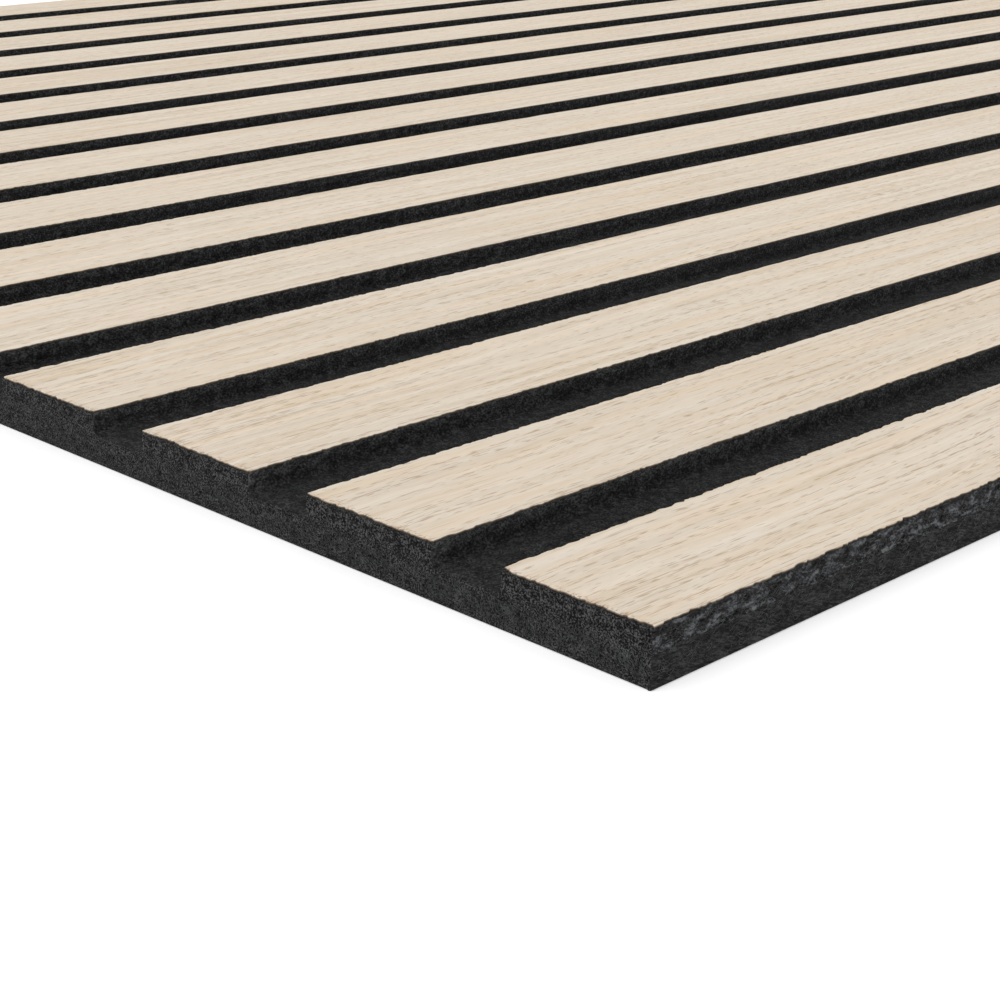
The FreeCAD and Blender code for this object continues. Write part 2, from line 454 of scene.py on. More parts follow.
def veneer_strip(node, box, settings, material):
    """One strip: a ragged outline, raised from the slat and closed above and below.

    Copies of the outline are stacked: the foot, the middle of the rim, its top, and the
    top face's own outline, which is drawn in by the rim's round. The top and bottom
    are four-sided faces from the right edge to the left one, and one face at each end.
    """
    (left, near, _), (right, far, _) = box
    outline_x, outline_y, run = strip_outline(box, settings)
    rim = settings.rim_round / MM
    middle = (left + right) / 2, (near + far) / 2
    half = (right - left) / 2, (far - near) / 2
    drawn_x = middle[0] + (outline_x - middle[0]) * (1 - rim / half[0])
    drawn_y = middle[1] + (outline_y - middle[1]) * (1 - rim / half[1])
    count = len(outline_x)
    levels = [SLAT_TOP, (SLAT_TOP + VENEER_TOP) / 2, VENEER_TOP - rim]
    rings = [np.column_stack([outline_x, outline_y, np.full(count, level)]) for level in levels]
    rings.append(np.column_stack([drawn_x, drawn_y, np.full(count, VENEER_TOP)]))

    numbers = np.arange(len(rings) * count).reshape(len(rings), count)
    closed = np.column_stack([numbers, numbers[:, :1]])
    groups = [(between_rows(closed), 0)]
    for ring, facing in ((numbers[-1], 1), (numbers[0], -1)):
        right_side, far_end = ring[:run], ring[run : run + END_STEPS]
        left_side = ring[run + END_STEPS : 2 * run + END_STEPS][::-1]
        near_end = ring[2 * run + END_STEPS :]
        middle_faces = between_rows(np.stack([left_side, right_side]))
        near_face = np.concatenate([near_end, [right_side[0], left_side[0]]])
        far_face = np.concatenate([far_end, [left_side[-1], right_side[-1]]])
        groups.append((middle_faces[:, :: -facing], 0))
        groups.append((np.stack([near_face, far_face])[:, ::facing], 0))
    strip = add_piece(node + "_leaf", np.vstack(rings), groups, [material], [node])
    set_attribute(strip, "rim", np.repeat(RIM_SHADES, count))
    shade_smooth(strip, STRIP_SHARP)
    return strip


# Loose fibres

# A fibre's rings and sides, the thickness of its tips and the most that it curls, as
# shares of its thickness and its length, and the range of its thickness, as shares too.
RINGS, SIDES = 5, 3
TIP, CURL, THICKNESS = 0.25, 0.45, (0.6, 1.3)

# Length of a fibre, how far its tips stand off the felt and how much more its middle
# does, in millimetres.
FIBRE_LENGTH = (0.5, 2.2)
LIFT, RISE = 0.02, (0.02, 0.16)

# The seed of the fibres' places on the first face, which grows by one for each further
# face, and the step from it to the seed of their curls.
FIRST_SEED, CURL_SEED = 5, 40

# How far a fibre stays from the panel's edges, its back, its top and a groove's walls.
EDGE_CLEAR, BACK_CLEAR, TOP_CLEAR, WALL_CLEAR = 1.0, 0.3, 0.1, 1.5

# Spread of the fibres' slant in radians, and over how many grooves they thin out.
EDGE_SLANT, FLOOR_SLANT, WALL_SLANT = 0.6, 0.8, 0.9
GROOVE_SPREAD = 3

# How deep the fluff goes below the slats' top, the band in which a half of it is
# gathered, and its share on the walls that face -X.
FLUFF_DEPTH, FLUFF_BAND, GATHERED = 2.2, 0.6, 0.5
LEFT_WALLS = 0.4


def fibres(name, roots, directions, normals, lengths, settings, material, seed):
    """Curled fibres that lie on the felt, as three-sided tubes that taper to both ends.

    The line of a fibre is root + direction * length * (t - 1/2) + sideways * curl * sin(pi t)
    + normal * (lift + rise * sin(pi t)), for t from 0 to 1. The root is its middle, so
    the length runs from -1/2 to 1/2.
    """
    random = np.random.default_rng(seed)
    count = len(roots)
    t = np.linspace(0, 1, RINGS)[None, :, None]
    sideways = np.cross(normals, directions)
    curl = (random.uniform(-CURL, CURL, count) * lengths)[:, None, None]
    rise = (random.uniform(*RISE, count))[:, None, None]
    radius = settings.fibre_thickness / MM / 2
    thick = radius * random.uniform(*THICKNESS, count)[:, None, None]
    arch = np.sin(np.pi * t)
    line = roots[:, None] + directions[:, None] * (lengths[:, None, None] * (t - 0.5))
    line = line + sideways[:, None] * curl * arch + normals[:, None] * (LIFT + rise * arch)
    taper = TIP + (1 - TIP) * arch
    angles = 2 * np.pi * np.arange(SIDES) / SIDES
    ring = sideways[:, None, None] * np.cos(angles)[:, None]
    ring = ring + normals[:, None, None] * np.sin(angles)[:, None]
    points = line[:, :, None] + ring * (thick * taper)[..., None]
    numbers = np.arange(count * RINGS * SIDES).reshape(count, RINGS, SIDES)
    turned = np.roll(numbers, -1, axis=2)
    walls = [numbers[:, :-1], turned[:, :-1], turned[:, 1:], numbers[:, 1:]]
    walls = np.stack(walls, axis=-1).reshape(-1, 4)
    caps = np.vstack([numbers[:, 0, ::-1], numbers[:, -1]])
    groups = [(walls, 0), (caps, 0)]
    return add_piece(name, points.reshape(-1, 3), groups, [material], [])


def from_near_end(random, count, spread):
    """Places along Y, thick at the near end and thinner away from it."""
    length = BOARD_HIGH[1] - BOARD_LOW[1]
    room = length - 2 * EDGE_CLEAR
    return BOARD_LOW[1] + EDGE_CLEAR + random.exponential(spread, count) % room


def reach_of(lengths, angles):
    """How far a slanting fibre with the most curl reaches above and below its root."""
    return lengths * (np.abs(np.sin(angles)) / 2 + np.abs(np.cos(angles)) * CURL)


def between_levels(random, lengths, angles, low, high):
    """Heights that keep a slanting fibre of each length between two levels."""
    room = np.maximum(high - low - 2 * reach_of(lengths, angles), 0)
    return low + (high - low - room) / 2 + room * random.random(len(lengths))


def scatter_on_edge(random, lengths, spread):
    """Roots, directions and normals of fibres on the milled band of the long side."""
    count = len(lengths)
    angles = random.normal(0, EDGE_SLANT, count)
    z = between_levels(random, lengths, angles, BACK_CLEAR, VENEER_TOP - TOP_CLEAR)
    y = from_near_end(random, count, spread)
    roots = np.column_stack([np.full(count, BOARD_HIGH[0]), y, z])
    directions = np.column_stack([np.zeros(count), np.cos(angles), np.sin(angles)])
    return roots, directions, np.tile([1.0, 0.0, 0.0], (count, 1))


def scatter_on_end(random, lengths, spread):
    """Roots, directions and normals of fibres on the cut end face."""
    count = len(lengths)
    angles = random.uniform(-np.pi, np.pi, count)
    z = between_levels(random, lengths, angles, BACK_CLEAR, FLOOR_Z - TOP_CLEAR)
    room = BOARD_HIGH[0] - BOARD_LOW[0] - 2 * EDGE_CLEAR
    x = BOARD_HIGH[0] - EDGE_CLEAR - random.exponential(spread, count) % room
    roots = np.column_stack([x, np.full(count, BOARD_LOW[1]), z])
    directions = np.column_stack([np.cos(angles), np.zeros(count), np.sin(angles)])
    return roots, directions, np.tile([0.0, -1.0, 0.0], (count, 1))


def scatter_in_grooves(random, lengths, spread):
    """Roots, directions and normals of fibres on the floors of the grooves."""
    count = len(lengths)
    angles = random.normal(0, FLOOR_SLANT, count) + np.pi / 2
    lefts = np.array([box[0][0] for box in STRIP_BOXES])
    groove = random.exponential(GROOVE_SPREAD, count).astype(int)
    groove = np.minimum(groove, len(lefts) - 1)
    groove_width = lefts[0] - STRIP_BOXES[1][1][0]
    x = lefts[groove] - random.uniform(WALL_CLEAR, groove_width - WALL_CLEAR, count)
    y = from_near_end(random, count, spread)
    roots = np.column_stack([x, y, np.full(count, FLOOR_Z)])
    directions = np.column_stack([np.cos(angles), np.sin(angles), np.zeros(count)])
    return roots, directions, np.tile([0.0, 0.0, 1.0], (count, 1))


def scatter_on_walls(random, lengths, spread):
    """Roots, directions and normals of fluff at the tops of the grooves' walls.

    It stands beside the veneer's rim and stays below its top, so that the rim isn't one
    clean line.
    """
    count = len(lengths)
    angles = random.normal(0, WALL_SLANT, count)
    z = between_levels(random, lengths, angles, SLAT_TOP - FLUFF_DEPTH, VENEER_TOP)
    gathered = random.random(count) >= GATHERED
    z = np.where(gathered, np.maximum(z, SLAT_TOP - FLUFF_BAND), z)
    z = np.minimum(z, VENEER_TOP - TOP_CLEAR - reach_of(lengths, angles))
    strip = random.exponential(GROOVE_SPREAD, count).astype(int)
    strip = np.minimum(strip, len(STRIP_BOXES) - 2)
    sides = np.array([[box[0][0] for box in STRIP_BOXES], [box[1][0] for box in STRIP_BOXES]])
    on_left = random.random(count) < LEFT_WALLS
    x = np.where(on_left, sides[0][strip], sides[1][strip + 1])
    roots = np.column_stack([x, from_near_end(random, count, spread), z])
    directions = np.column_stack([np.zeros(count), np.cos(angles), np.sin(angles)])
    normals = np.column_stack([np.where(on_left, -1.0, 1.0), np.zeros(count), np.zeros(count)])
    return roots, directions, normals


# Materials

# Sockets of a Mix node, by number, because several of them share a name: its share, then
# the two numbers or the two colours that it mixes, and the mixed colour.
SHARE = 0
FIRST_NUMBER, SECOND_NUMBER = 2, 3
FIRST_COLOUR, SECOND_COLOUR, MIXED_COLOUR = 6, 7, 2


def add_node(tree, kind, sockets=None, **settings):
    """Adds a node with its settings. A node or an output given for a socket is linked."""
    node = tree.nodes.new(kind)
    for name, value in settings.items():
        setattr(node, name, value)
    for name, value in (sockets or {}).items():
        if isinstance(value, bpy.types.Node):
            value = value.outputs[0]
        if isinstance(value, bpy.types.NodeSocket):
            tree.links.new(value, node.inputs[name])
        else:
            node.inputs[name].default_value = value
    return node


def new_material(name):
    """An empty material and its node tree."""
    material = bpy.data.materials.new(name)
    material.use_nodes = True
    material.node_tree.nodes.clear()
    return material, material.node_tree


# Needled polyester felt. Real fibres are 0.03 mm thick and can't be seen one by one at
# this distance, so the finest tone is drawn about 0.3 mm wide. The fibres lie mostly
# along the board: a cut end shows their ends as speckle, and a long side shows short
# lines. Cells and bumps are in millimetres, and by_height and spread give a number at
# the grooves' floor and one at the slats' top. A finish has the plain felt's values
# where it names none.
PLAIN_FELT = {"by_tuft": 0.0, "by_height": (1.0, 1.0), "at_end": 1.0, "spread": (1.0, 1.0)}
FELT_LOOKS = {
    "polyester_felt_knife_cut": {
        # Even, dark and matt, with fine speckle.
        "colours": ("#161616", "#2a2a2a", "#494949"),
        "fibre": (0.28, 1.30, 0.26),
        "patch": (2.4, 5.0, 1.8),
        "patch_share": 0.32,
        "contrast": 0.13,
        "bump": 0.08,
    },
    "polyester_felt_milled_edge": {
        # Torn by the cutter: pale tufts stand out above the seam. The tone also rises with the
        # lumps' height, as painted light on the raised tufts and painted shade in the pits
        # between them.
        "colours": ("#0a0a0a", "#323233", "#6c6e71"),
        "fibre": (0.34, 0.60, 0.32),
        "patch": (1.2, 3.0, 1.0),
        "patch_share": 0.50,
        "contrast": 0.15,
        # Painted light on the raised lumps and painted shade in the pits.
        "by_tuft": 0.09,
        "by_height": (1.05, 1.0),
        "spread": (1.35, 0.85),
        "bump": 0.22,
    },
    "polyester_felt_milled_groove": {
        # Milled clean by a sharp cutter. Fluff stands at the slats' edges, and the colour is
        # painted darker down towards the floor and lighter up the walls, as painted shade deep in
        # the grooves.
        "colours": ("#0d0d0d", "#212121", "#424343"),
        "fibre": (0.30, 0.50, 0.30),
        "patch": (1.2, 1.8, 0.9),
        "patch_share": 0.30,
        "contrast": 0.15,
        # Painted light on the raised lumps and painted shade in the pits.
        "by_tuft": 0.06,
        # Painted shade: the groove's colour is darker down at the floor and lighter up the walls.
        "by_height": (0.85, 2.5),
        # Painted light: the floor is this many times paler where the groove opens at the panel's
        # end.
        "at_end": 1.3,
        "bump": 0.12,
    },
    "polyester_felt_cross_cut": {
        # The fibres' cut ends: the sharpest speckle of all.
        "colours": ("#0c0c0c", "#242424", "#575758"),
        "fibre": (0.27, 1.30, 0.25),
        "patch": (2.0, 2.4, 1.4),
        "patch_share": 0.18,
        "contrast": 0.10,
        "bump": 0.10,
    },
    "polyester_fibre_loose": {
        # Single fibres and small bundles, paler than the felt because light passes them.
        "colours": ("#333333", "#505152", "#757778"),
        "fibre": (0.50, 0.50, 0.50),
        "patch": (3.0, 3.0, 3.0),
        "patch_share": 0.5,
        "contrast": 0.20,
        "bump": 0.01,
    },
}

# The finish of the loose fibres. The others are the board's, in the order of its numbers.
LOOSE_FIBRE = "polyester_fibre_loose"

# The fibres slant from the board's length by an angle about X, and their tone is rough.
# The patches don't slant, and are smoother.
FIBRE_SLANT, FIBRE_ROUGHNESS = (-0.3, 0, 0), 0.7
PATCH_SLANT, PATCH_ROUGHNESS = (0, 0, 0), 0.5

# Where a groove's floor is painted paler towards the panel's end, as painted light that falls in
# at the open end, and where that fades out above the floor, in millimetres from the end and from
# the floor.
PAINTED_LIGHT_RUN = (2.6, 1.6)
PAINTED_LIGHT_RISE = (0.2, 1.2)

# The middle of a tone, which goes from 0 to 1.
MIDDLE = 0.5


def felt_tone(tree, place, look):
    """The felt's tone: fine speckle mixed with soft patches, and a share of the lumps' height,
    which paints light on raised tufts and shade in the pits.
    """
    patterns = [
        (FIRST_NUMBER, look["fibre"], FIBRE_SLANT, FIBRE_ROUGHNESS),
        (SECOND_NUMBER, look["patch"], PATCH_SLANT, PATCH_ROUGHNESS),
    ]
    tones = {SHARE: look["patch_share"]}
    for number, cell, slant, roughness in patterns:
        size = [side * MM for side in cell]
        sockets = {"Vector": place, "Rotation": slant, "Scale": size}
        cells = add_node(tree, "ShaderNodeMapping", sockets, vector_type="TEXTURE")
        sockets = {"Vector": cells, "Scale": 1.0, "Detail": 2.0, "Roughness": roughness}
        tones[number] = add_node(tree, "ShaderNodeTexNoise", sockets)
    both = add_node(tree, "ShaderNodeMix", tones)
    # Painted light and shade: the tone rises where the felt's lumps stand out and falls in the
    # pits.
    tuft = add_node(tree, "ShaderNodeAttribute", attribute_name="tuft").outputs["Fac"]
    sockets = {0: tuft, 1: look["by_tuft"], 2: both}
    return add_node(tree, "ShaderNodeMath", sockets, operation="MULTIPLY_ADD")


def felt_levels(tree, place, look, lightness):
    """The spread of the felt's tone and the level of its colour, by place on the board.

    Both go evenly from one value at the grooves' floor to another at the slats' top, and in the
    grooves that level is painted shade, darker down at the floor. The floor is painted paler in
    its last 2.6 mm, as painted light at the open end: level + level * near the end * near the
    floor.
    """
    axes = add_node(tree, "ShaderNodeSeparateXYZ", {"Vector": place}).outputs
    from_middle = add_node(tree, "ShaderNodeMath", {0: axes["Y"]}, operation="ABSOLUTE")
    levels = [level * lightness for level in look["by_height"]]
    painted_light_ys = [BOARD_HIGH[1] - from_end for from_end in PAINTED_LIGHT_RUN]
    painted_light_zs = [FLOOR_Z + above for above in PAINTED_LIGHT_RISE]

    # Numbers that go evenly from one value to another between two places.
    ranges = {
        "spread": (axes["Z"], (FLOOR_Z, SLAT_TOP), look["spread"]),
        "level": (axes["Z"], (FLOOR_Z, SLAT_TOP), levels),
        "near_end": (from_middle, painted_light_ys, (0.0, 1.0)),
        "painted_light_rise": (axes["Z"], painted_light_zs, (look["at_end"] - 1, 0.0)),
    }
    by_place = {}
    for run, (source, (low, high), (first, last)) in ranges.items():
        sockets = {
            "Value": source,
            "From Min": low * MM,
            "From Max": high * MM,
            "To Min": first,
            "To Max": last,
        }
        by_place[run] = add_node(tree, "ShaderNodeMapRange", sockets)
    # Painted light: the groove's floor is painted paler near the panel's open end.
    sockets = {0: by_place["near_end"], 1: by_place["painted_light_rise"]}
    paler = add_node(tree, "ShaderNodeMath", sockets, operation="MULTIPLY")
    sockets = {0: paler, 1: by_place["level"], 2: by_place["level"]}
    level = add_node(tree, "ShaderNodeMath", sockets, operation="MULTIPLY_ADD")
    return by_place["spread"], level


def felt_material(name, settings):
    """One finish of the felt. Its tone picks the colour, and stands out as fine relief."""
    look = {**PLAIN_FELT, **FELT_LOOKS[name]}
    material, tree = new_material(name)
    place = add_node(tree, "ShaderNodeTexCoord").outputs["Object"]
    tone = felt_tone(tree, place, look)
    spread, level = felt_levels(tree, place, look, settings.lightness)

    # The tone is spread about its middle before it picks a colour.
    tone = add_node(tree, "ShaderNodeMath", {0: tone, 1: MIDDLE}, operation="SUBTRACT")
    sockets = {0: tone, 1: spread, 2: MIDDLE}
    tone = add_node(tree, "ShaderNodeMath", sockets, operation="MULTIPLY_ADD")
    ground = add_node(tree, "ShaderNodeValToRGB", {"Fac": tone})
    stops = ground.color_ramp.elements
    stops.new(MIDDLE)
    steps = (-look["contrast"], 0, look["contrast"])
    for stop, step, colour in zip(stops, steps, look["colours"]):
        stop.position, stop.color = MIDDLE + step, linear(colour)
    sockets = {0: ground, "Scale": level}
    colour = add_node(tree, "ShaderNodeVectorMath", sockets, operation="SCALE")
    sockets = {"Height": tone, "Strength": 0.8, "Distance": look["bump"] * MM}
    relief = add_node(tree, "ShaderNodeBump", sockets)
    sockets = {
        "Base Color": colour,
        "Roughness": 0.95,
        "Specular IOR Level": 0.05,
        "Sheen Weight": 0.03,
        "Sheen Roughness": 0.4,
        "Normal": relief,
    }
    shader = add_node(tree, "ShaderNodeBsdfPrincipled", sockets)
    add_node(tree, "ShaderNodeOutputMaterial", {"Surface": shader})
    return material


# Patterns of the wood: their cells across the slat, along it and through it, in
# millimetres, their detail and their roughness. Growth rings lie 1 to 3 mm apart, and
# open pores are about 0.2 mm wide and a few millimetres long. The fibres of the wood are
# 0.02 mm wide, so their grain is drawn 0.3 mm wide to show at this distance. Through
# the veneer the cells are so long that no pattern changes there.
THROUGH = 1000
WOOD_PATTERNS = {
    "streak": ((1.5, 40, THROUGH), 4.0, 0.6),
    "growth": ((2.0, 170, THROUGH), 0.0, 0.5),
    "broad": ((9, 220, THROUGH), 2.0, 0.5),
    "fine": ((0.30, 4.5, THROUGH), 1.0, 0.5),
    "chalky": ((2.2, 22, THROUGH), 3.0, 0.5),
    "tint": ((3.0, 75, THROUGH), 1.0, 0.5),
    "gather": ((0.8, 80, THROUGH), 2.0, 0.5),
    "pore": ((0.22, 3.6, THROUGH), 1.0, 0.5),
    "vessel": ((0.24, 15, THROUGH), 2.0, 0.5),
    "spot": ((0.8, 2.6, THROUGH), 2.0, 0.5),
}

# The grain slants from the slat by this angle about Z. It also drifts across the slat, in
# short waves and in long ones: cells, detail and reach, in millimetres.
GRAIN_SLANT = (0, 0, 0.025)
GRAIN_DRIFTS = [((9, 24, THROUGH), 2.0, 1.2), ((70, 420, THROUGH), 4.0, 20)]

# The most that the patterns shift from one leaf of veneer to the next, in metres: along
# the slat, and through it to quite another part of the patterns.
LEAF_SHIFT = (0, 3, 9)

# What each pattern adds to the wood's tone, what the leaf adds, and the tones of the
# darkest and the lightest wood.
TONE_SHARES = {"fine": 0.20, "streak": 0.33, "growth": 0.29, "broad": 0.11}
LEAF_SHARE = 0.04
DARK_TONE, LIGHT_TONE = 0.28, 0.68

# How strongly the pores gather, how much an open pore shows of the pore colour, and how
# much a fleck shows of its own.
GATHERING, PORE_SHARE, FLECK_SHARE = 0.8, 0.7, 0.25

# The cells of the grit at a sawn end, and how far from the end the scorch and the grit
# reach, in millimetres.
GRIT_CELL = (0.35, 0.55, 0.4)
SCORCH_REACH, GRIT_REACH = 2.0, 1.6


def grain_place(tree, place, chance):
    """The place at which the grain is read, moved leaf by leaf and by a slow drift.

    A leaf's random colour, times LEAF_SHIFT, moves it along the slat and through it. The
    waves of the drift, each times its reach, move it across the slat.
    """
    sockets = {0: chance, 1: LEAF_SHIFT}
    shift = add_node(tree, "ShaderNodeVectorMath", sockets, operation="MULTIPLY")
    sway = 0.0
    for cell, detail, reach in GRAIN_DRIFTS:
        sockets = {"Vector": place, "Scale": [side * MM for side in cell]}
        cells = add_node(tree, "ShaderNodeMapping", sockets, vector_type="TEXTURE")
        sockets = {"Vector": cells, "Scale": 1.0, "Detail": detail}
        wave = add_node(tree, "ShaderNodeTexNoise", sockets)
        sockets = {0: wave, 1: reach * MM, 2: sway}
        sway = add_node(tree, "ShaderNodeMath", sockets, operation="MULTIPLY_ADD")
    drift = add_node(tree, "ShaderNodeCombineXYZ", {"X": sway})
    moved = place
    for step in (shift, drift):
        moved = add_node(tree, "ShaderNodeVectorMath", {0: moved, 1: step}, operation="ADD")
    return moved


def wood_ground(tree, patterns, chance, settings):
    """The colour of the bare wood, by its tone: the sum of each source times its share."""
    tone = 0.0
    parts = [(patterns[name], share) for name, share in TONE_SHARES.items()]
    for source, share in [*parts, (chance, LEAF_SHARE)]:
        sockets = {0: source, 1: share, 2: tone}
        tone = add_node(tree, "ShaderNodeMath", sockets, operation="MULTIPLY_ADD")
    wood = add_node(tree, "ShaderNodeValToRGB", {"Fac": tone})
    stops = (DARK_TONE, settings.dark_wood), (LIGHT_TONE, settings.light_wood)
    for stop, (position, colour) in zip(wood.color_ramp.elements, stops):
        stop.position, stop.color = position, (*colour, 1)
    return wood.outputs["Color"]


def mark_shares(tree, patterns, place):
    """How much of each mark on the wood shows, from 0 to 1, by the mark's name."""
    sockets = {0: patterns["gather"], 1: GATHERING, 2: patterns["pore"]}
    thick = add_node(tree, "ShaderNodeMath", sockets, operation="MULTIPLY_ADD")
    sockets = {"Vector": place, "Scale": [side * MM for side in GRIT_CELL]}
    cells = add_node(tree, "ShaderNodeMapping", sockets, vector_type="TEXTURE")
    grit = add_node(tree, "ShaderNodeTexNoise", {"Vector": cells, "Scale": 1.0, "Detail": 1.0})
    axes = add_node(tree, "ShaderNodeSeparateXYZ", {"Vector": place}).outputs
    from_middle = add_node(tree, "ShaderNodeMath", {0: axes["Y"]}, operation="ABSOLUTE")
    end = BOARD_HIGH[1] * MM

    # Shares that rise softly from 0 while a source goes from one value to another, and
    # the highest that each gets.
    rises = {
        "pale": (patterns["chalky"], 0.50, 0.74, 0.30),
        "warm": (patterns["tint"], 0.50, 0.70, 0.22),
        "cool": (patterns["tint"], 0.50, 0.30, 0.22),
        "open_pore": (thick, 1.02, 1.12, 1.0),
        "faint_pore": (patterns["vessel"], 0.56, 0.72, 0.35),
        "fleck": (patterns["spot"], 0.70, 0.80, 1.0),
        "scorched": (patterns["spot"], 0.45, 0.65, 1.0),
        "near_end": (from_middle, end - SCORCH_REACH * MM, end, 1.0),
        "crumbs": (grit, 0.56, 0.64, 0.55),
        "at_end": (from_middle, end - GRIT_REACH * MM, end, 1.0),
    }
    shares = {}
    for name, (source, low, high, top) in rises.items():
        sockets = {"Value": source, "From Min": low, "From Max": high, "To Max": top}
        shares[name] = add_node(
            tree, "ShaderNodeMapRange", sockets, interpolation_type="SMOOTHSTEP"
        )

    # Shares worked out from those before them, or from one of them and a number.
    combined = {
        "dark_pore": ("MULTIPLY", "open_pore", PORE_SHARE),
        "lines": ("MAXIMUM", "dark_pore", "faint_pore"),
        "scorch": ("MULTIPLY", "near_end", "scorched"),
        "brown": ("MAXIMUM", "fleck", "scorch"),
        "browned": ("MULTIPLY", "brown", FLECK_SHARE),
        "worn": ("MULTIPLY", "crumbs", "at_end"),
    }
    for name, (operation, first, second) in combined.items():
        sockets = {0: shares[first], 1: shares.get(second, second)}
        shares[name] = add_node(tree, "ShaderNodeMath", sockets, operation=operation)
    return shares


def veneer_material(settings):
    """Oak veneer, sliced about 0.3 mm thick, sanded and left matt.

    The eye gets a pale, warm ground with soft whitish and tan streaks along the slat,
    thin open pores gathered in the tan ones, and a darker raw rim. The streaks carry
    on from slat to slat inside each leaf of veneer, because the slats are milled out
    of one covered board, and the tone steps a little where two leaves meet.
    """
    material, tree = new_material("oak_veneer_sliced_sanded")
    place = add_node(tree, "ShaderNodeTexCoord").outputs["Object"]
    axes = add_node(tree, "ShaderNodeSeparateXYZ", {"Vector": place}).outputs
    sockets = {0: axes["X"], 1: settings.leaf_width}
    leaf = add_node(tree, "ShaderNodeMath", sockets, operation="DIVIDE")
    leaf = add_node(tree, "ShaderNodeMath", {0: leaf}, operation="FLOOR")
    chance = add_node(tree, "ShaderNodeTexWhiteNoise", {"W": leaf}, noise_dimensions="1D").outputs

    moved = grain_place(tree, place, chance["Color"])
    patterns = {}
    for name, (cell, detail, roughness) in WOOD_PATTERNS.items():
        size = [side * MM for side in cell]
        sockets = {"Vector": moved, "Rotation": GRAIN_SLANT, "Scale": size}
        cells = add_node(tree, "ShaderNodeMapping", sockets, vector_type="TEXTURE")
        sockets = {"Vector": cells, "Scale": 1.0, "Detail": detail, "Roughness": roughness}
        patterns[name] = add_node(tree, "ShaderNodeTexNoise", sockets)
    shares = mark_shares(tree, patterns, place)
    rim = add_node(tree, "ShaderNodeAttribute", attribute_name="rim").outputs["Fac"]

    # The colours that are laid over the wood in turn, each by its own share.
    layers = [
        (shares["pale"], settings.chalk),
        (shares["warm"], settings.honey),
        (shares["cool"], settings.ash),
        (shares["lines"], settings.pore),
        (shares["browned"], settings.fleck),
        (shares["worn"], settings.raw_rim),
        (rim, settings.raw_rim),
    ]
    colour = wood_ground(tree, patterns, chance["Value"], settings)
    for share, laid in layers:
        sockets = {SHARE: share, FIRST_COLOUR: colour, SECOND_COLOUR: (*laid, 1)}
        mix = add_node(tree, "ShaderNodeMix", sockets, data_type="RGBA")
        colour = mix.outputs[MIXED_COLOUR]

    sockets = {0: shares["open_pore"], 1: -1.0, 2: patterns["fine"]}
    height = add_node(tree, "ShaderNodeMath", sockets, operation="MULTIPLY_ADD")
    sockets = {"Height": height, "Strength": 0.5, "Distance": 0.04 * MM}
    relief = add_node(tree, "ShaderNodeBump", sockets)
    sockets = {
        "Base Color": colour,
        "Roughness": 0.65,
        "Specular IOR Level": 0.25,
        "Normal": relief,
    }
    shader = add_node(tree, "ShaderNodeBsdfPrincipled", sockets)
    add_node(tree, "ShaderNodeOutputMaterial", {"Surface": shader})
    return material


def floor_material():
    """White matt paper sweep. It clips to white, and the panel's shadow stays on it."""
    material, tree = new_material("white_paper_sweep")
    paper = add_node(tree, "ShaderNodeBsdfDiffuse", {"Color": (0.88, 0.88, 0.88, 1.0)})
    glow = add_node(tree, "ShaderNodeEmission", {"Color": (1, 1, 1, 1), "Strength": 0.30})
    both = add_node(tree, "ShaderNodeAddShader", {0: paper, 1: glow})
    seen = add_node(tree, "ShaderNodeLightPath").outputs["Is Camera Ray"]
    choice = add_node(tree, "ShaderNodeMixShader", {0: seen, 1: paper, 2: both})
    add_node(tree, "ShaderNodeOutputMaterial", {"Surface": choice})
    return material


# Settings


class FeltSettings(bpy.types.PropertyGroup):
    """Sizes and lightness of the felt and its loose fibres"""

    foot_radius: FloatProperty(
        name="Foot radius", description="Round that the cutter leaves at a slat's foot",
        default=0.0008, unit="LENGTH",
    )
    edge_round: FloatProperty(
        name="Edge round", description="How far a cut felt edge is drawn in",
        default=0.0002, unit="LENGTH",
    )
    wall_lumps: FloatProperty(
        name="Groove lumps", description="Height of the lumps on the grooves' walls and floors",
        default=0.00012, unit="LENGTH",
    )
    edge_lumps: FloatProperty(
        name="Edge lumps", description="Height of the lumps on the milled band of the long side",
        default=0.00035, unit="LENGTH",
    )
    large_lump: FloatProperty(
        name="Large lump", description="Width of a tuft of torn felt",
        default=0.0012, unit="LENGTH",
    )
    small_lump: FloatProperty(
        name="Small lump", description="Width of a small tuft",
        default=0.00055, unit="LENGTH",
    )
    lightness: FloatProperty(
        name="Lightness", description="How many times lighter than black felt it is",
        default=1.0, min=0,
    )
    fibre_count: IntProperty(
        name="Fibres", description="Loose fibres on one face", default=3500, min=0,
    )
    fibre_spread: FloatProperty(
        name="Fibre spread", description="How far from the near corner fibres lie thick",
        default=0.16, unit="LENGTH",
    )
    fibre_thickness: FloatProperty(
        name="Fibre thickness", description="Drawn thicker than a real fibre, so that it shows",
        default=0.00006, unit="LENGTH",
    )


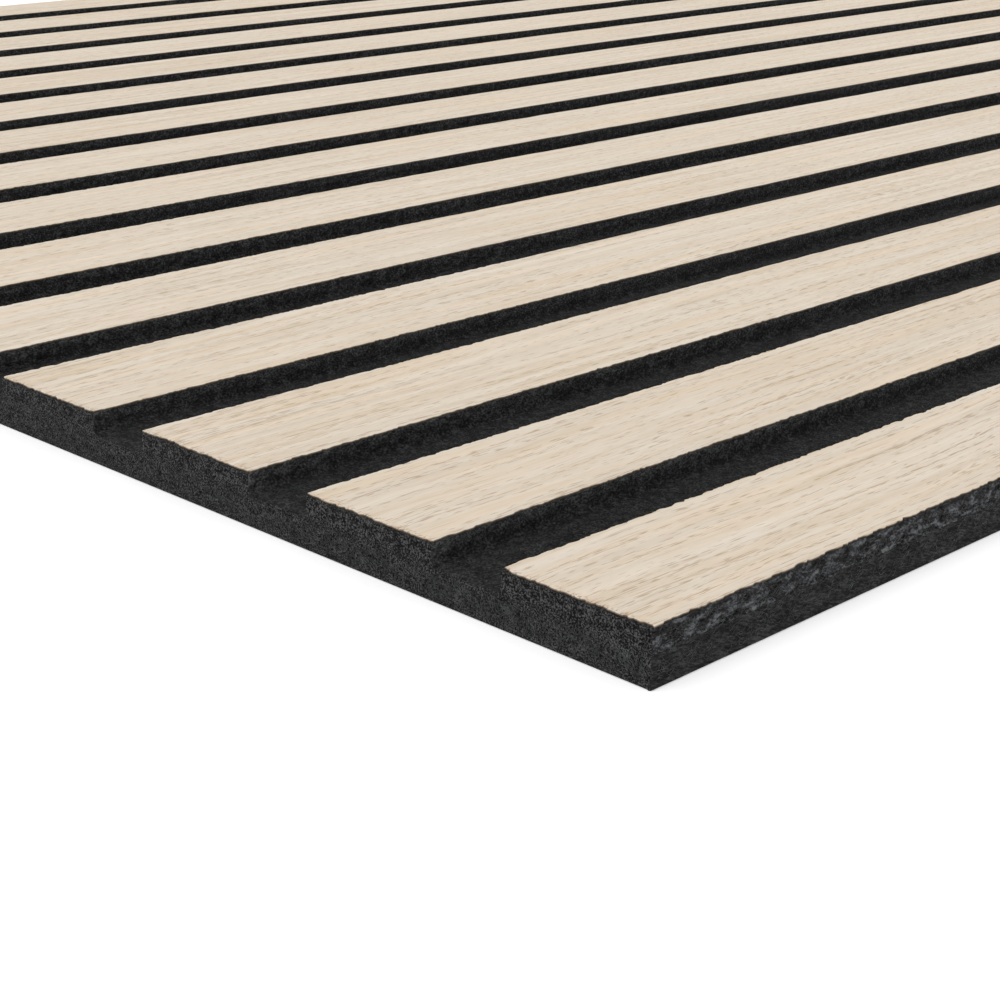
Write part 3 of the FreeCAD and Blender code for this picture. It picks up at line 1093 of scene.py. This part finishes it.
class VeneerSettings(bpy.types.PropertyGroup):
    """Sizes and colours of the veneer"""

    edge_wave: FloatProperty(
        name="Edge wave", description="How far a milled veneer edge waves",
        default=0.0002, unit="LENGTH",
    )
    edge_rough: FloatProperty(
        name="Edge roughness", description="Fine raggedness of a milled edge",
        default=0.0006, unit="LENGTH",
    )
    end_wave: FloatProperty(
        name="End wave", description="How far a sawn end waves",
        default=0.00005, unit="LENGTH",
    )
    end_rough: FloatProperty(
        name="End roughness", description="Fine raggedness of a sawn end",
        default=0.0006, unit="LENGTH",
    )
    chip_depth: FloatProperty(
        name="Chip depth", description="Depth of a chip in the edge",
        default=0.0004, unit="LENGTH",
    )
    chip_threshold: FloatProperty(
        name="Chip threshold", description="Higher leaves fewer chips", default=0.5,
    )
    corner_wear: FloatProperty(
        name="Corner wear", description="How far the most worn corner of a strip is worn back",
        default=0.0007, unit="LENGTH",
    )
    rim_round: FloatProperty(
        name="Rim round", description="Wear on the veneer's top edge",
        default=0.00005, unit="LENGTH",
    )
    leaf_width: FloatProperty(
        name="Leaf width", description="Width of one sliced leaf of veneer",
        default=0.163, unit="LENGTH",
    )
    light_wood: FloatVectorProperty(
        name="Light wood", description="Latewood between the pores", subtype="COLOR",
        default=linear("#ebe0d2")[:3], min=0, max=1,
    )
    dark_wood: FloatVectorProperty(
        name="Dark wood", description="Earlywood, where the pores gather", subtype="COLOR",
        default=linear("#cfbda3")[:3], min=0, max=1,
    )
    chalk: FloatVectorProperty(
        name="Chalk", description="Whitish streaks, where the cut runs along the fibres",
        subtype="COLOR", default=linear("#e9e3d9")[:3], min=0, max=1,
    )
    honey: FloatVectorProperty(
        name="Honey", description="Faintly warm streaks", subtype="COLOR",
        default=linear("#ebd1b1")[:3], min=0, max=1,
    )
    ash: FloatVectorProperty(
        name="Ash", description="Faintly greyish streaks", subtype="COLOR",
        default=linear("#d9d0c6")[:3], min=0, max=1,
    )
    pore: FloatVectorProperty(
        name="Pore", description="Open pores", subtype="COLOR",
        default=linear("#ab9376")[:3], min=0, max=1,
    )
    fleck: FloatVectorProperty(
        name="Fleck", description="Warm flecks, and the scorched end of a strip",
        subtype="COLOR", default=linear("#c98f5e")[:3], min=0, max=1,
    )
    raw_rim: FloatVectorProperty(
        name="Raw rim", description="The veneer's cut edge, darkened by glue",
        subtype="COLOR", default=linear("#44372a")[:3], min=0, max=1,
    )


class StageSettings(bpy.types.PropertyGroup):
    """Camera and light"""

    lens: FloatProperty(
        name="Lens", description="Focal length of the camera, on 36 mm film",
        default=74.31, unit="CAMERA",
    )
    from_corner: FloatVectorProperty(
        name="Camera place", description="From the panel's near bottom corner",
        subtype="TRANSLATION", default=(0.1511, -0.18335, 0.1129), unit="LENGTH",
    )
    azimuth: FloatProperty(
        name="Azimuth", description="Direction of view, turned from +Y towards -X",
        default=math.radians(44.194), subtype="ANGLE",
    )
    elevation: FloatProperty(
        name="Elevation", description="How far the camera looks down",
        default=math.radians(20.242), subtype="ANGLE",
    )
    roll: FloatProperty(
        name="Roll", description="Turn of the camera about its view",
        default=math.radians(0.870), subtype="ANGLE",
    )
    sky: FloatProperty(
        name="Sky", description="Strength of the even white light", default=0.60,
    )
    lamp: FloatProperty(
        name="Lamp", description="Strength of the broad lamp", default=1.45,
    )


# Stage

# Half the floor's width and how far it lies under the panel's back, in metres.
FLOOR_HALF, FLOOR_DROP = 9.0, 0.00002

# How wide the lamp looks, and the direction of its light.
LAMP_ANGLE = math.radians(60)
LAMP_DIRECTION = (-0.20, 0.62, -1.0)

# The camera's film in millimetres, and the nearest and farthest that it sees, in metres.
FILM_WIDTH = 36
NEAREST, FARTHEST = 0.01, 50


def make_floor():
    """A wide white floor just under the panel's back."""
    square = [(-1, -1), (1, -1), (1, 1), (-1, 1)]
    corners = [(x * FLOOR_HALF, y * FLOOR_HALF, -FLOOR_DROP) for x, y in square]
    mesh = bpy.data.meshes.new("floor")
    mesh.from_pydata(corners, [], [(0, 1, 2, 3)])
    mesh.materials.append(floor_material())
    floor = bpy.data.objects.new("floor", mesh)
    bpy.context.scene.collection.objects.link(floor)


def make_light(scene, settings):
    """An even white sky and one broad lamp from behind the camera."""
    world = bpy.data.worlds.new("studio")
    world.use_nodes = True
    tree = world.node_tree
    tree.nodes.clear()
    path = add_node(tree, "ShaderNodeLightPath").outputs
    seen = path["Is Camera Ray"]
    for ray in ("Is Glossy Ray", "Is Transmission Ray"):
        seen = add_node(tree, "ShaderNodeMath", {0: seen, 1: path[ray]}, operation="MAXIMUM")
    sockets = {SHARE: seen, FIRST_NUMBER: settings.sky, SECOND_NUMBER: 1.0}
    strength = add_node(tree, "ShaderNodeMix", sockets)
    sky = add_node(tree, "ShaderNodeBackground", {"Color": (1, 1, 1, 1), "Strength": strength})
    add_node(tree, "ShaderNodeOutputWorld", {"Surface": sky})
    scene.world = world
    lamp = bpy.data.lights.new("soft_lamp", "SUN")
    lamp.energy = settings.lamp
    lamp.angle = LAMP_ANGLE
    holder = bpy.data.objects.new("soft_lamp", lamp)
    holder.rotation_euler = Vector(LAMP_DIRECTION).to_track_quat("-Z", "Y").to_euler()
    scene.collection.objects.link(holder)


def make_camera(scene, settings):
    """The camera low over the near corner, turned by azimuth, elevation and roll."""
    camera = bpy.data.cameras.new("camera")
    camera.lens = settings.lens
    camera.sensor_width = FILM_WIDTH
    camera.clip_start, camera.clip_end = NEAREST, FARTHEST
    holder = bpy.data.objects.new("camera", camera)
    corner = Vector((BOARD_HIGH[0], BOARD_LOW[1], BOARD_LOW[2])) * MM
    turn = Matrix.Rotation(settings.azimuth, 4, "Z")
    turn = turn @ Matrix.Rotation(math.pi / 2 - settings.elevation, 4, "X")
    turn = turn @ Matrix.Rotation(settings.roll, 4, "Z")
    place = Matrix.Translation(corner + Vector(settings.from_corner))
    holder.matrix_world = place @ turn
    scene.collection.objects.link(holder)
    scene.camera = holder


# Operators


class SLATPANEL_OT_felt_board(bpy.types.Operator):
    """Make the felt board, cut outside and milled in its grooves"""

    bl_idname = "slatpanel.felt_board"
    bl_label = "Felt board"

    def execute(self, context):
        settings = context.scene.slat_felt
        finishes = [name for name in FELT_LOOKS if name != LOOSE_FIBRE]
        felt_board(settings, [felt_material(name, settings) for name in finishes])
        return {"FINISHED"}


class SLATPANEL_OT_loose_fibres(bpy.types.Operator):
    """Make the loose fibres on the felt's long side, cut end and grooves"""

    bl_idname = "slatpanel.loose_fibres"
    bl_label = "Loose fibres"

    def execute(self, context):
        settings = context.scene.slat_felt
        material = felt_material(LOOSE_FIBRE, settings)
        scatters = {
            "edge_fibres": scatter_on_edge,
            "end_fibres": scatter_on_end,
            "groove_fibres": scatter_in_grooves,
            "wall_fibres": scatter_on_walls,
        }
        for seed, (name, scatter) in enumerate(scatters.items(), start=FIRST_SEED):
            random = np.random.default_rng(seed)
            lengths = random.uniform(*FIBRE_LENGTH, settings.fibre_count)
            placed = scatter(random, lengths, settings.fibre_spread / MM)
            fibres(name, *placed, lengths, settings, material, seed + CURL_SEED)
        return {"FINISHED"}


class SLATPANEL_OT_veneer_strips(bpy.types.Operator):
    """Make the strip of veneer on each slat"""

    bl_idname = "slatpanel.veneer_strips"
    bl_label = "Veneer strips"

    def execute(self, context):
        settings = context.scene.slat_veneer
        material = veneer_material(settings)
        for node, box in zip(STRIP_NODES, STRIP_BOXES):
            veneer_strip(node, box, settings, material)
        return {"FINISHED"}


class SLATPANEL_OT_stage(bpy.types.Operator):
    """Make the floor, the light and the camera"""

    bl_idname = "slatpanel.stage"
    bl_label = "Stage"

    def execute(self, context):
        settings = context.scene.slat_stage
        make_floor()
        make_light(context.scene, settings)
        make_camera(context.scene, settings)
        context.scene.view_settings.view_transform = "Standard"
        return {"FINISHED"}


class SLATPANEL_PT_sidebar(bpy.types.Panel):
    """The settings, and below them the operators that use them"""

    bl_idname = "SLATPANEL_PT_sidebar"
    bl_label = "Acoustic slat panel"
    bl_space_type = "VIEW_3D"
    bl_region_type = "UI"
    bl_category = "Slat Panel"

    def draw(self, context):
        for name, group in SETTINGS.items():
            box = self.layout.box()
            box.label(text=group.__doc__)
            for setting in group.__annotations__:
                box.prop(getattr(context.scene, name), setting)
        for operator in OPERATORS:
            self.layout.operator(operator.bl_idname)


SETTINGS = {
    "slat_felt": FeltSettings,
    "slat_veneer": VeneerSettings,
    "slat_stage": StageSettings,
}
OPERATORS = [
    SLATPANEL_OT_felt_board,
    SLATPANEL_OT_loose_fibres,
    SLATPANEL_OT_veneer_strips,
    SLATPANEL_OT_stage,
]


def register():
    for name, group in SETTINGS.items():
        bpy.utils.register_class(group)
        setattr(bpy.types.Scene, name, PointerProperty(type=group))
    for operator in OPERATORS:
        bpy.utils.register_class(operator)
    bpy.utils.register_class(SLATPANEL_PT_sidebar)


def unregister():
    bpy.utils.unregister_class(SLATPANEL_PT_sidebar)
    for operator in reversed(OPERATORS):
        bpy.utils.unregister_class(operator)
    for name, group in reversed(SETTINGS.items()):
        delattr(bpy.types.Scene, name)
        bpy.utils.unregister_class(group)


def main():
    """Makes every piece and the stage."""
    register()
    bpy.ops.slatpanel.felt_board()
    bpy.ops.slatpanel.loose_fibres()
    bpy.ops.slatpanel.veneer_strips()
    bpy.ops.slatpanel.stage()


if __name__ == "__main__":
    main()
